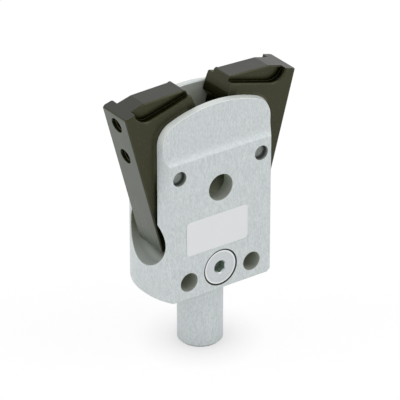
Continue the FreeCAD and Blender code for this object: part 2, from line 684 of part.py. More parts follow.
for item in doc.Objects:
    if "Invalid" in item.State or "Error" in item.State:
        raise RuntimeError(f"{item.Label} failed to build: {item.State}")
for part in parts:
    if part.Shape.isNull() or not part.Shape.isValid() or not part.Shape.Solids:
        raise RuntimeError(f"{part.Label} has no valid solid")

os.makedirs("parts", exist_ok=True)
for part in parts:
    part.Shape.exportStep(os.path.join("parts", f"{part.Label}.step"))
    print(f"{part.Label}: {part.Shape.Volume:.1f} mm3, {len(part.Shape.Solids)} solid")
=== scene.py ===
import json
import math

import bmesh
import bpy
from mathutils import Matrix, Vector


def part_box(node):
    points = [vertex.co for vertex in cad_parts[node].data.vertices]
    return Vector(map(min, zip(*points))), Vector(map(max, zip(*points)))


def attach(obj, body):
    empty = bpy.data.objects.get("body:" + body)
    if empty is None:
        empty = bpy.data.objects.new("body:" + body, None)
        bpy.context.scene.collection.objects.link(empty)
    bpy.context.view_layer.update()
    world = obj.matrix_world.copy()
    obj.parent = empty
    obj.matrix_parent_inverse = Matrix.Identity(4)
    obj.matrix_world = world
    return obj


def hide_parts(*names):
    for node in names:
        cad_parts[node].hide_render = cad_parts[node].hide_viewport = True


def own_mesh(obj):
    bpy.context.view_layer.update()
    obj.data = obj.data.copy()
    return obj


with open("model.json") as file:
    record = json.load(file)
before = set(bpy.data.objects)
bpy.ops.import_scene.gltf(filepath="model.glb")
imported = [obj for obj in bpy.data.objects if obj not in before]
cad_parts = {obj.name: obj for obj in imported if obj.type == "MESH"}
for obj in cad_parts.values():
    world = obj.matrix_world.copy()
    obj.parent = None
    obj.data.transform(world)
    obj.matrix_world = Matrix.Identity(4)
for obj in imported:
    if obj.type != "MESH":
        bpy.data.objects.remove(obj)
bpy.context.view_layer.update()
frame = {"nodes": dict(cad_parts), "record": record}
nodes = frame["nodes"]
mm = 0.001
print("frame loaded:", len(nodes), "nodes")

# places in the shared frame, in millimetres, as in the part's source
gripper = {
    "shankLength": 18.7, "flat": 9.1, "pinX": 12.5, "pinHeight": 53.7, "plugHeight": 24.7,
    "jawOuter": 8.2,  # from the pin's axis to the jaw's outer face
    "tilt": math.radians(15.0),  # how far the open jaws lean out
}
tiltCos = math.cos(gripper["tilt"])
tiltSin = math.sin(gripper["tilt"])
pinPlace = (gripper["pinX"], 0, gripper["pinHeight"])
plugPlace = (0, 0, gripper["plugHeight"])
sharpAngle = math.radians(24.0)  # edges that turn more than this stay sharp


def metres(values):
    return [value * mm for value in values]


# node helpers

def clearTree(owner):
    owner.use_nodes = True
    owner.node_tree.nodes.clear()
    return owner.node_tree


def addNode(tree, kind, place, **values):
    node = tree.nodes.new(kind)
    node.location = place
    for key, value in values.items():
        setattr(node, key, value)
    return node


def setInputs(node, **values):
    for key, value in values.items():
        node.inputs[key.replace("_", " ")].default_value = value


def feed(tree, node, **sources):
    for key, source in sources.items():
        tree.links.new(source, node.inputs[key.replace("_", " ")])


def linkOrSet(tree, value, socket):
    # a number or a colour is set on the socket, anything else is linked to it
    if isinstance(value, (int, float)):
        socket.default_value = value
    elif isinstance(value, (tuple, list)):
        socket.default_value = (*value, 1.0)
    else:
        tree.links.new(value, socket)


def mathNode(tree, operation, place, *values, clamp=False):
    node = addNode(tree, "ShaderNodeMath", place, operation=operation, use_clamp=clamp)
    for socket, value in zip(node.inputs, values):
        linkOrSet(tree, value, socket)
    return node.outputs[0]


def vectorNode(tree, operation, place, first, second=None):
    node = addNode(tree, "ShaderNodeVectorMath", place, operation=operation)
    tree.links.new(first, node.inputs[0])
    if isinstance(second, (tuple, list)):
        node.inputs[1].default_value = second
    elif second is not None:
        tree.links.new(second, node.inputs[1])
    return node


def noiseNode(tree, place, point, values):
    node = addNode(tree, "ShaderNodeTexNoise", place)
    setInputs(node, **values)
    tree.links.new(point, node.inputs["Vector"])
    return node


def remap(tree, value, place, low, high, toLow=0.0, toHigh=1.0):
    node = addNode(tree, "ShaderNodeMapRange", place)
    setInputs(node, From_Min=low, From_Max=high, To_Min=toLow, To_Max=toHigh)
    tree.links.new(value, node.inputs["Value"])
    return node.outputs["Result"]


def spread(tree, mask, place, ends):
    # a mask turned into values between two ends
    return remap(tree, mask, place, 0, 1, *ends)


def share(tree, mask, place, most):
    # a mask that goes no higher than the given share
    return spread(tree, mask, place, (0.0, most))


def newGroup(name, inputs, outputs):
    # a tuple among the inputs makes a vector socket, a number a plain one
    tree = bpy.data.node_groups.new(name, "ShaderNodeTree")
    for label, value in inputs.items():
        kind = "NodeSocketVector" if isinstance(value, tuple) else "NodeSocketFloat"
        socket = tree.interface.new_socket(label, in_out="INPUT", socket_type=kind)
        socket.default_value = value
    for label, kind in outputs.items():
        tree.interface.new_socket(label, in_out="OUTPUT", socket_type=kind)
    start = addNode(tree, "NodeGroupInput", (-900, 0))
    end = addNode(tree, "NodeGroupOutput", (700, 0))
    return tree, start, end


def objectPoint(tree, place, scale, stretch):
    x, y = place
    coords = addNode(tree, "ShaderNodeTexCoord", place)
    stretched = vectorNode(tree, "MULTIPLY", (x + 180, y), coords.outputs["Object"], stretch)
    sized = vectorNode(tree, "SCALE", (x + 360, y), stretched.outputs[0])
    tree.links.new(scale, sized.inputs["Scale"])
    return sized.outputs[0]


# shared effects

grainShape = {
    "fine": {"Scale": 1.0, "Detail": 3.0, "Roughness": 0.62}, "fineShare": 0.8,
    "coarse": {"Scale": 0.31, "Detail": 2.0, "Roughness": 0.5}, "coarseShare": 0.2,
    "range": (0.34, 0.66),
}


def makeGrain():
    # fine blasted or tumbled grain, two sizes of speckle
    p = grainShape
    tree, start, end = newGroup("blastedGrain", {"Scale": 2600.0, "Stretch": (1, 1, 0.6)},
                                {"Speckle": "NodeSocketFloat", "Height": "NodeSocketFloat"})
    point = objectPoint(tree, (-700, 200), start.outputs["Scale"], start.outputs["Stretch"])
    fine = noiseNode(tree, (-120, 260), point, p["fine"])
    coarse = noiseNode(tree, (-120, -40), point, p["coarse"])
    finePart = mathNode(tree, "MULTIPLY", (60, 220), fine.outputs["Fac"], p["fineShare"])
    coarsePart = mathNode(tree, "MULTIPLY", (60, 20), coarse.outputs["Fac"], p["coarseShare"])
    both = mathNode(tree, "ADD", (120, 160), finePart, coarsePart)
    feed(tree, end, Speckle=remap(tree, both, (320, 160), *p["range"]), Height=both)
    return tree


lineShape = {"noise": {"Scale": 1.0, "Detail": 2.0, "Roughness": 0.55}, "range": (0.35, 0.65)}


def makeCutterLines():
    # parallel lines left by a cutter or a grinding wheel, long one way and close the other
    p = lineShape
    tree, start, end = newGroup("cutterLines", {"Scale": 3000.0, "Stretch": (1, 1, 0.03)},
                                {"Line": "NodeSocketFloat", "Height": "NodeSocketFloat"})
    point = objectPoint(tree, (-700, 100), start.outputs["Scale"], start.outputs["Stretch"])
    noise = noiseNode(tree, (-120, 100), point, p["noise"]).outputs["Fac"]
    feed(tree, end, Line=remap(tree, noise, (160, 160), *p["range"]), Height=noise)
    return tree


ringShape = {"noise": {"Scale": 1.0, "Detail": 1.0}, "range": (0.35, 0.65)}


def makeTurnedRings():
    # fine rings round a point, as turning leaves them
    p = ringShape
    tree, start, end = newGroup("turnedRings", {"Centre": (0, 0, 0), "Flatten": (1, 0, 1), "Rings": 5000.0},
                                {"Ring": "NodeSocketFloat", "Height": "NodeSocketFloat"})
    coords = addNode(tree, "ShaderNodeTexCoord", (-720, 120))
    away = vectorNode(tree, "SUBTRACT", (-540, 120), coords.outputs["Object"], start.outputs["Centre"])
    flat = vectorNode(tree, "MULTIPLY", (-360, 120), away.outputs[0], start.outputs["Flatten"])
    radius = vectorNode(tree, "LENGTH", (-180, 120), flat.outputs[0])
    phase = mathNode(tree, "MULTIPLY", (0, 120), radius.outputs["Value"], start.outputs["Rings"])
    noise = addNode(tree, "ShaderNodeTexNoise", (160, 120), noise_dimensions="1D")
    setInputs(noise, **p["noise"])
    tree.links.new(phase, noise.inputs["W"])
    ring = remap(tree, noise.outputs["Fac"], (360, 160), *p["range"])
    feed(tree, end, Ring=ring, Height=noise.outputs["Fac"])
    return tree


edgeShape = {
    "samples": 6, "turn": (0.01, 0.16),  # how far the rounded normal turns where wear starts and is full
    "noise": {"Scale": 900.0, "Detail": 3.0, "Roughness": 0.6}, "range": (0.3, 0.7),
}


def makeEdgeTouch():
    # worn or broken edges, also the mask for painted edge highlights: how far a rounded normal turns away
    # from the true one
    p = edgeShape
    tree, start, end = newGroup("edgeTouch", {"Width": 0.3 * mm, "Break": 0.5},
                                {"Mask": "NodeSocketFloat", "Normal": "NodeSocketVector"})
    bevel = addNode(tree, "ShaderNodeBevel", (-560, 120), samples=p["samples"])
    tree.links.new(start.outputs["Width"], bevel.inputs["Radius"])
    true = addNode(tree, "ShaderNodeNewGeometry", (-560, -80))
    dot = vectorNode(tree, "DOT_PRODUCT", (-340, 60), bevel.outputs["Normal"], true.outputs["Normal"])
    turn = mathNode(tree, "SUBTRACT", (-160, 60), 1.0, dot.outputs["Value"], clamp=True)
    turned = remap(tree, turn, (60, 60), *p["turn"])
    coords = addNode(tree, "ShaderNodeTexCoord", (-720, -300))
    noise = noiseNode(tree, (-360, -260), coords.outputs["Object"], p["noise"])
    patches = remap(tree, noise.outputs["Fac"], (-200, -220), *p["range"])
    gap = mathNode(tree, "MULTIPLY", (-80, -220), patches, start.outputs["Break"])
    kept = mathNode(tree, "SUBTRACT", (80, -180), 1.0, gap, clamp=True)
    mask = mathNode(tree, "MULTIPLY", (260, 40), turned, kept, clamp=True)
    feed(tree, end, Mask=mask, Normal=bevel.outputs["Normal"])
    return tree


cavityShape = {"samples": 12}


def makeCavityShade():
    # how far a place is closed in: holes, slots and the foot of a step
    tree, start, end = newGroup("cavityShade", {"Reach": 4.0 * mm, "Low": 0.3, "High": 0.7},
                                {"Closed": "NodeSocketFloat"})
    around = addNode(tree, "ShaderNodeAmbientOcclusion", (-360, 0), samples=cavityShape["samples"],
                     only_local=True)
    tree.links.new(start.outputs["Reach"], around.inputs["Distance"])
    closed = mathNode(tree, "SUBTRACT", (-120, 0), 1.0, around.outputs["AO"], clamp=True)
    shade = addNode(tree, "ShaderNodeMapRange", (120, 0))
    feed(tree, shade, Value=closed, From_Min=start.outputs["Low"], From_Max=start.outputs["High"])
    feed(tree, end, Closed=shade.outputs["Result"])
    return tree


stainShape = {"noise": {"Detail": 4.0, "Roughness": 0.55, "Distortion": 0.4}, "range": (0.3, 0.7)}


def makeSoftStain():
    # broad, faint clouds of tone from handling and oil
    p = stainShape
    tree, start, end = newGroup("softStain", {"Scale": 120.0}, {"Cloud": "NodeSocketFloat"})
    coords = addNode(tree, "ShaderNodeTexCoord", (-620, 0))
    noise = noiseNode(tree, (-360, 0), coords.outputs["Object"], p["noise"])
    tree.links.new(start.outputs["Scale"], noise.inputs["Scale"])
    feed(tree, end, Cloud=remap(tree, noise.outputs["Fac"], (-100, 0), *p["range"]))
    return tree


groups = {
    "grain": makeGrain(), "lines": makeCutterLines(), "rings": makeTurnedRings(),
    "edge": makeEdgeTouch(), "stain": makeSoftStain(), "cavity": makeCavityShade(),
}
print("shared effects made:", len(groups))


# material helpers

def newMaterial(name, **shader):
    material = bpy.data.materials.new(name)
    tree = clearTree(material)
    output = addNode(tree, "ShaderNodeOutputMaterial", (900, 0))
    principled = addNode(tree, "ShaderNodeBsdfPrincipled", (560, 0))
    tree.links.new(principled.outputs[0], output.inputs[0])
    setInputs(principled, **shader)
    return material, tree, principled


def useGroup(tree, name, place, **values):
    node = addNode(tree, "ShaderNodeGroup", place, node_tree=groups[name])
    setInputs(node, **values)
    return node


def mixColour(tree, factor, place, low, high):
    node = addNode(tree, "ShaderNodeMix", place, data_type="RGBA")
    for index, value in ((0, factor), (6, low), (7, high)):  # inputs 6 and 7 take the colours
        linkOrSet(tree, value, node.inputs[index])
    return node.outputs[2]


def combineParts(tree, place, **parts):
    node = addNode(tree, "ShaderNodeCombineXYZ", place)
    feed(tree, node, **parts)
    return node.outputs[0]


def splitCoords(tree, place, kind):
    # the object's point or its surface direction, split into X, Y and Z
    coords = addNode(tree, "ShaderNodeTexCoord", place)
    split = addNode(tree, "ShaderNodeSeparateXYZ", (place[0] + 180, place[1]))
    tree.links.new(coords.outputs[kind], split.inputs[0])
    return split.outputs


def objectParts(tree, place):
    # how far a point is to the side and from the middle plane, its height, whether it is at the front,
    # and the point folded onto the right half
    x, y = place
    split = splitCoords(tree, place, "Object")
    across = mathNode(tree, "ABSOLUTE", (x + 360, y + 80), split["X"])
    side = mathNode(tree, "ABSOLUTE", (x + 360, y - 80), split["Y"])
    front = mathNode(tree, "LESS_THAN", (x + 360, y - 240), split["Y"], 0.0)
    fold = combineParts(tree, (x + 540, y), X=across, Z=split["Z"])
    return {"across": across, "side": side, "height": split["Z"], "front": front, "fold": fold}


def distanceFrom(tree, point, place, centre):
    return vectorNode(tree, "DISTANCE", place, point, metres(centre)).outputs["Value"]


def lengthAlong(tree, point, place, centre, direction):
    away = vectorNode(tree, "SUBTRACT", place, point, metres(centre))
    along = vectorNode(tree, "DOT_PRODUCT", (place[0] + 180, place[1]), away.outputs[0], direction)
    return along.outputs["Value"]


def bump(tree, height, place, size, normal=None):
    # size is the strength and the depth in millimetres
    node = addNode(tree, "ShaderNodeBump", place)
    setInputs(node, Strength=size[0], Distance=size[1] * mm)
    tree.links.new(height, node.inputs["Height"])
    if normal is not None:
        tree.links.new(normal, node.inputs["Normal"])
    return node.outputs["Normal"]


# body: blasted aluminium

domeFinish = {
    "tone": (0.695, 0.73, 0.705), "rim": (0.95, 0.96, 0.945), "foot": 61.5,
    "upward": (0.0, 0.35), "lean": 0.5,  # surface directions that count as dome
}


def turnedLitDome(tree, at, edge, colour):
    # the domed ends are painted brighter where they face up, partly their turned finish and partly painted
    # light from above, and their rims get a painted highlight
    f = domeFinish
    facing = splitCoords(tree, (-1300, 500), "Normal")
    upward = remap(tree, facing["Z"], (-940, 560), *f["upward"])
    lean = mathNode(tree, "ABSOLUTE", (-940, 400), facing["Y"])
    level = mathNode(tree, "LESS_THAN", (-760, 400), lean, f["lean"])
    top = mathNode(tree, "GREATER_THAN", (-760, 240), at["height"], f["foot"] * mm)
    levelTop = mathNode(tree, "MULTIPLY", (-580, 340), level, top)
    turned = mathNode(tree, "MULTIPLY", (-580, 500), upward, levelTop)
    domed = mixColour(tree, turned, (20, 300), colour, f["tone"])
    # painted highlight along the rim of the dome
    rim = mathNode(tree, "MULTIPLY", (-400, 340), edge.outputs["Mask"], top)
    return mixColour(tree, rim, (40, 240), domed, f["rim"])


slotFinish = {
    "top": (0.50, 0.515, 0.475), "floor": (0.46, 0.49, 0.36),
    "half": 5.47, "start": 36.4, "rise": (55.0, 70.0),
}


def shadedSlot(tree, at, colour):
    # milled walls of the slot are less metallic than the outside, and painted shade makes them darker and
    # more olive further down
    f = slotFinish
    narrow = mathNode(tree, "LESS_THAN", (-580, -1320), at["side"], f["half"] * mm)
    above = mathNode(tree, "GREATER_THAN", (-580, -1480), at["height"], f["start"] * mm)
    slot = mathNode(tree, "MULTIPLY", (-400, -1320), narrow, above)
    rise = remap(tree, at["height"], (-400, -1480), *metres(f["rise"]))
    tone = mixColour(tree, rise, (-120, -1480), f["floor"], f["top"])
    return mixColour(tree, slot, (60, 160), colour, tone), slot


boreShade = {
    "floor": (0.455, 0.492, 0.462), "lit": (0.74, 0.79, 0.73),
    "wall": (0.235, 0.25, 0.165), "deep": (0.10, 0.11, 0.05),
    "height": 35.2, "radius": 7.7, "margin": 0.05,
    "shade": (28.5, 35.0),  # heights between floor and wall tone
    "beside": (14.7, 13.2), "depth": (12.4, 9.4),  # distances from the middle
}


def shadedBore(tree, at, colour):
    # painted shade in the cross bore, up its walls and deep inside, and a painted pool of light on its floor
    # beside the foot of the jaw
    f = boreShade
    section = combineParts(tree, (-760, -1700), Y=at["side"], Z=at["height"])
    away = distanceFrom(tree, section, (-580, -1700), (0, 0, f["height"]))
    bore = mathNode(tree, "LESS_THAN", (-400, -1700), away, (f["radius"] + f["margin"]) * mm)
    up = remap(tree, at["height"], (-400, -1860), *metres(f["shade"]))
    inward = remap(tree, at["across"], (-400, -2020), *metres(f["depth"]))
    beside = remap(tree, at["across"], (-400, -2180), *metres(f["beside"]))
    floor = mixColour(tree, beside, (-260, -2180), f["floor"], f["lit"])
    wall = mixColour(tree, up, (-120, -1860), floor, f["wall"])
    tone = mixColour(tree, inward, (60, -1860), wall, f["deep"])
    return mixColour(tree, bore, (120, 160), colour, tone), bore


holeShade = {
    # distance from the middle, height and radius of the holes through the flats
    "open": [(9.7, 23.4, 2.6), (0.0, 47.7, 3.65)],
    "pins": [(gripper["pinX"], gripper["pinHeight"], 2.0)],
    "port": [(0.0, gripper["plugHeight"], 5.1)],
    "margin": 0.03,
    # painted shade inside the holes, round the pins and plug, and on the end of the shank
    "mouth": (0.54, 0.57, 0.52), "deep": (0.34, 0.37, 0.29), "deepAt": 4.2,  # from the middle plane
    "pinMouth": (0.44, 0.47, 0.455), "pinWall": (0.15, 1.05),  # below the flat
    "gap": (0.14, 0.15, 0.13),
    "shankEnd": (0.10, 0.105, 0.095), "shankRise": (0.5, 0.2), "shankShare": 0.8,
}


def insideHoles(tree, fold, holes, place):
    # 1 on the walls of holes along Y, 0 elsewhere
    mask = None
    for row, (x, z, radius) in enumerate(holes):
        level = place[1] - 160 * row
        away = distanceFrom(tree, fold, (place[0], level), (x, 0, z))
        reach = (radius + holeShade["margin"]) * mm
        near = mathNode(tree, "LESS_THAN", (place[0] + 180, level), away, reach)
        mask = near if mask is None else mathNode(tree, "MAXIMUM", (place[0] + 360, level), mask, near)
    return mask


def shadedHoles(tree, at, colour):
    # painted shade: the holes are painted darker deeper in, pins and plug have a painted shadow line round
    # them, and the end of the shank is painted dark for the contact shadow below it
    f = holeShade
    openHoles = insideHoles(tree, at["fold"], f["open"], (-580, -520))
    depth = remap(tree, at["side"], (-580, -1160), gripper["flat"] * mm, f["deepAt"] * mm)
    paintedShade = mixColour(tree, depth, (-20, -700), f["mouth"], f["deep"])
    holed = mixColour(tree, openHoles, (200, 160), colour, paintedShade)
    pinHoles = insideHoles(tree, at["fold"], f["pins"], (-580, -840))
    pinLevels = metres(gripper["flat"] - value for value in f["pinWall"])
    sunk = remap(tree, at["side"], (-220, -840), *pinLevels)
    pinTone = mixColour(tree, sunk, (-40, -900), f["pinMouth"], f["gap"])
    pinned = mixColour(tree, pinHoles, (260, 160), holed, pinTone)
    port = insideHoles(tree, at["fold"], f["port"], (-580, -1000))
    frontPort = mathNode(tree, "MULTIPLY", (-220, -1000), port, at["front"])
    lined = mixColour(tree, frontPort, (300, 160), pinned, f["gap"])
    foot = remap(tree, at["height"], (-180, -480), *metres(f["shankRise"]), 0.0, f["shankShare"])
    return mixColour(tree, foot, (400, 160), lined, f["shankEnd"])


bodyFinish = {
    "light": (0.66, 0.70, 0.704), "dark": (0.49, 0.528, 0.532), "edge": (0.76, 0.79, 0.79),
    "grain": {"Scale": 4800.0, "Stretch": (1.0, 1.0, 0.24)}, "bump": (0.24, 0.06),
    "stain": {"Scale": 70.0}, "stainShare": 0.16,
    "wear": {"Width": 0.25 * mm, "Break": 0.35},
    "rough": (0.60, 0.44), "metallic": (0.45, 0.10),  # outside, then slot and bore
}


def blastedAluminium():
    f = bodyFinish
    material, tree, shader = newMaterial("blastedAluminium")
    grain = useGroup(tree, "grain", (-700, 200), **f["grain"])
    stain = useGroup(tree, "stain", (-700, -40), **f["stain"])
    edge = useGroup(tree, "edge", (-700, -240), **f["wear"])
    at = objectParts(tree, (-1300, -600))
    tone = mixColour(tree, grain.outputs["Speckle"], (-400, 240), f["dark"], f["light"])
    faint = share(tree, stain.outputs["Cloud"], (-480, -20), f["stainShare"])
    cloudy = mixColour(tree, faint, (-180, 200), tone, f["dark"])
    # edges painted paler: partly wear on the blasted surface, partly painted highlight
    wornAndHighlit = mixColour(tree, edge.outputs["Mask"], (-20, 160), cloudy, f["edge"])
    domed = turnedLitDome(tree, at, edge, wornAndHighlit)
    slotShaded, slot = shadedSlot(tree, at, domed)
    bored, bore = shadedBore(tree, at, slotShaded)
    shaded = shadedHoles(tree, at, bored)
    smooth = mathNode(tree, "MAXIMUM", (-120, -1320), slot, bore)
    metallic = spread(tree, smooth, (60, -1320), f["metallic"])
    rough = spread(tree, grain.outputs["Speckle"], (60, -60), f["rough"])
    normal = bump(tree, grain.outputs["Height"], (300, -220), f["bump"], edge.outputs["Normal"])
    feed(tree, shader, Base_Color=shaded, Metallic=metallic, Roughness=rough, Normal=normal)
    return material


# jaws: burnished steel

flankLight = {
    "tone": (0.085, 0.085, 0.055), "band": (0.5, -0.4), "foot": (-1.0, 3.0),
    "round": 18.0, "dome": 36.0, "domeCentre": 35.3, "domeCorner": 4.8,  # the body's turned outside
}


def litFlank(tree, at, up, flank):
    # painted light on the flanks where they slide behind the edge of the body's cheeks, lifting the shade the
    # cheeks cast there
    f = flankLight
    spot = combineParts(tree, (-1100, -2000), X=at["across"], Y=at["side"], Z=at["height"])
    level = vectorNode(tree, "MULTIPLY", (-920, -1920), spot, (1, 1, 0))
    fromAxis = distanceFrom(tree, level.outputs[0], (-740, -1920), (0, 0, 0))
    fromDome = distanceFrom(tree, spot, (-740, -2080), (0, 0, f["domeCentre"]))
    pastRound = mathNode(tree, "SUBTRACT", (-560, -1920), fromAxis, f["round"] * mm)
    pastDome = mathNode(tree, "SUBTRACT", (-560, -2080), fromDome, f["dome"] * mm)
    past = mathNode(tree, "SMOOTH_MAX", (-380, -2000), pastRound, pastDome, f["domeCorner"] * mm)
    behind = remap(tree, past, (-200, -2000), *metres(f["band"]))
    upper = remap(tree, up, (-380, -2200), *metres(f["foot"]))
    upperBehind = mathNode(tree, "MULTIPLY", (-20, -2160), behind, upper)
    return mathNode(tree, "MULTIPLY", (-20, -2000), flank, upperBehind)


topLight = {"tone": (0.0255, 0.0262, 0.0268), "upward": 0.8, "foot": 18.0}


# painted sky reflection on the upward tops of the jaws, lighter and bluer
def litTop(tree, up):
    f = topLight
    facing = splitCoords(tree, (-1300, 500), "Normal")
    upward = mathNode(tree, "GREATER_THAN", (-940, 500), facing["Z"], f["upward"])
    raised = mathNode(tree, "GREATER_THAN", (-700, -1460), up, f["foot"] * mm)
    return mathNode(tree, "MULTIPLY", (-500, -1460), upward, raised)


jawShadeTones = {
    "tone": (0.011, 0.0115, 0.003), "tailTone": (0.032, 0.034, 0.022),
    "pocketFoot": 12.5, "tail": (-6.5, -8.5),  # up the jaw from the pin
    "relief": -9.2, "reliefShade": (16.4, 12.2),  # out from the pin, then up
}


def jawShade(tree, out, up, flank, closed, edgeWearAndHighlight):
    # painted shade: pockets, threads, tails and the relief under the gripping face are painted black, as dark
    # metal with no sheen
    f = jawShadeTones
    high = mathNode(tree, "GREATER_THAN", (-700, -1140), up, f["pocketFoot"] * mm)
    threaded = mathNode(tree, "GREATER_THAN", (-700, -1300), out, 0.0)
    held = mathNode(tree, "MAXIMUM", (-500, -1140), high, threaded)
    sheltered = mathNode(tree, "MULTIPLY", (-240, -560), closed, held)
    kept = mathNode(tree, "SUBTRACT", (-240, -420), 1.0, edgeWearAndHighlight, clamp=True)
    pocket = mathNode(tree, "MULTIPLY", (-60, -420), sheltered, kept)
    down = remap(tree, up, (-700, -980), *metres(f["tail"]))
    tail = mathNode(tree, "MULTIPLY", (-500, -820), flank, down)
    inner = mathNode(tree, "LESS_THAN", (-700, -1620), out, f["relief"] * mm)
    under = remap(tree, up, (-700, -1780), *metres(f["reliefShade"]))
    relief = mathNode(tree, "MULTIPLY", (-500, -1620), inner, under)
    shut = mathNode(tree, "MAXIMUM", (-60, -620), tail, relief)
    return mathNode(tree, "MAXIMUM", (120, -420), pocket, shut), tail


jawFinish = {
    "base": (0.0135, 0.014, 0.0012), "oilAndShade": (0.0085, 0.009, 0.0008), "wornAndHighlit": (0.20, 0.20, 0.16),
    "ground": (0.051, 0.063, 0.050), "outer": (8.02, 8.14),  # out from the pin
    "flank": 4.9,  # from the middle plane
    "ior": 1.445, "tint": (1.0, 0.985, 0.70, 1.0),
    "grain": {"Scale": 2300.0, "Stretch": (1.0, 1.0, 1.0)}, "speck": (0.75, 1.0), "speckShare": 0.12,
    "lines": {"Scale": 1900.0, "Stretch": (0.05, 1.0, 1.0)}, "bump": (0.10, 0.04),
    "stain": {"Scale": 150.0},
    "wear": {"Width": 0.22 * mm, "Break": 0.7}, "wearShare": 0.6,
    "cavity": {"Reach": 3.0 * mm, "Low": 0.15, "High": 0.42}, "bare": (1.0, 0.3),  # open, then closed in
    "rough": (0.24, 0.38), "stainRough": 0.7, "lineRough": 0.3,
}


def burnishedSteel():
    f = jawFinish
    material, tree, shader = newMaterial("burnishedSteel", IOR=f["ior"], Specular_Tint=f["tint"])
    grain = useGroup(tree, "grain", (-700, 260), **f["grain"])
    lines = useGroup(tree, "lines", (-700, 60), **f["lines"])
    stain = useGroup(tree, "stain", (-700, -120), **f["stain"])
    edge = useGroup(tree, "edge", (-700, -300), **f["wear"])
    cavity = useGroup(tree, "cavity", (-700, -480), **f["cavity"])
    closed = cavity.outputs["Closed"]
    # distances out and up from the pin along the leaning jaw
    at = objectParts(tree, (-1700, -700))
    out = lengthAlong(tree, at["fold"], (-1100, -640), pinPlace, (tiltCos, 0, -tiltSin))
    up = lengthAlong(tree, at["fold"], (-1100, -820), pinPlace, (tiltSin, 0, tiltCos))
    flank = mathNode(tree, "GREATER_THAN", (-700, -820), at["side"], f["flank"] * mm)
    tone = mixColour(tree, stain.outputs["Cloud"], (-360, 220), f["oilAndShade"], f["base"])
    bright = remap(tree, grain.outputs["Speckle"], (-360, 20), *f["speck"], 0.0, f["speckShare"])
    speck = mixColour(tree, bright, (-120, 200), tone, f["wornAndHighlit"])
    # painted light: the flanks are painted paler behind the cheeks, the outer faces get a painted reflection
    # and the tops a painted reflection of the sky
    flankLit = litFlank(tree, at, up, flank)
    flankLitTone = mixColour(tree, flankLit, (-60, 260), speck, flankLight["tone"])
    # painted reflection: the outer faces are painted paler
    outer = remap(tree, out, (-700, -640), *metres(f["outer"]))
    ground = mixColour(tree, outer, (-20, 200), flankLitTone, f["ground"])
    topped = mixColour(tree, litTop(tree, up), (40, 200), ground, topLight["tone"])
    # edges are painted paler, partly wear through the skin and partly painted highlight, less where they are
    # closed in
    bare = spread(tree, closed, (-500, -300), f["bare"])
    edgeWearAndHighlight = mathNode(tree, "MULTIPLY", (-300, -300), edge.outputs["Mask"], bare)
    dull, tail = jawShade(tree, out, up, flank, closed, edgeWearAndHighlight)
    # painted shade in the pockets, threads, tails and the relief
    jawShaded = mixColour(tree, dull, (100, 160), topped, jawShadeTones["tone"])
    shaded = mixColour(tree, tail, (160, 160), jawShaded, jawShadeTones["tailTone"])
    wear = share(tree, edgeWearAndHighlight, (-60, -120), f["wearShare"])
    wornAndHighlit = mixColour(tree, wear, (240, 160), shaded, f["wornAndHighlit"])
    smears = mathNode(tree, "MULTIPLY", (-240, -40), stain.outputs["Cloud"], f["stainRough"])
    strokes = mathNode(tree, "MULTIPLY", (-240, -90), lines.outputs["Line"], f["lineRough"])
    uneven = mathNode(tree, "ADD", (-120, -40), smears, strokes)
    rough = spread(tree, uneven, (120, -60), f["rough"])
    scored = mathNode(tree, "ADD", (120, -260), grain.outputs["Height"], lines.outputs["Height"])
    normal = bump(tree, scored, (320, -260), f["bump"], edge.outputs["Normal"])
    feed(tree, shader, Base_Color=wornAndHighlit, Metallic=dull, Roughness=rough, Normal=normal)
    return material


# pins, bushes, washers, pistons and spring: ground, drawn or turned metal with close lines one way

metalFinish = {
    "stain": {"Scale": 320.0}, "stainShare": 0.25, "wear": {"Width": 0.12 * mm, "Break": 0.4},
    "roughShares": (1.25, 0.8), "bump": (0.12, 0.03),
}
metalKinds = {
    "pin": {
        "name": "groundPin", "light": (0.30, 0.322, 0.308), "dark": (0.208, 0.225, 0.213), "rough": 0.42,
        "lines": {"Scale": 2600.0, "Stretch": (1, 0.06, 1)}, "metallic": 0.4,
        "rimShade": (0.085, 0.092, 0.088), "rim": (1.15, 1.75),  # painted shade round the rim of each end
    },
    "bush": {
        "name": "turnedBronze", "light": (0.62, 0.42, 0.18), "dark": (0.42, 0.27, 0.11), "rough": 0.36,
        "lines": {"Scale": 2600.0, "Stretch": (1, 0.06, 1)}, "metallic": 1.0,
    },
    "washer": {
        "name": "rolledShim", "light": (0.30, 0.30, 0.29), "dark": (0.18, 0.18, 0.17), "rough": 0.38,
        "lines": {"Scale": 2200.0, "Stretch": (0.08, 1, 1)}, "metallic": 1.0,
    },
    "piston": {
        "name": "turnedAluminium", "light": (0.72, 0.73, 0.74), "dark": (0.55, 0.56, 0.57), "rough": 0.32,
        "lines": {"Scale": 2600.0, "Stretch": (1, 0.06, 0.06)}, "metallic": 1.0,
    },
    "thrust_pin": {
        "name": "hardenedSteel", "light": (0.60, 0.60, 0.60), "dark": (0.44, 0.44, 0.45), "rough": 0.22,
        "lines": {"Scale": 2600.0, "Stretch": (1, 0.06, 0.06)}, "metallic": 1.0,
    },
    "spring": {
        "name": "drawnWire", "light": (0.50, 0.50, 0.50), "dark": (0.30, 0.30, 0.31), "rough": 0.34,
        "lines": {"Scale": 1800.0, "Stretch": (0.3, 1, 1)}, "metallic": 1.0,
    },
}


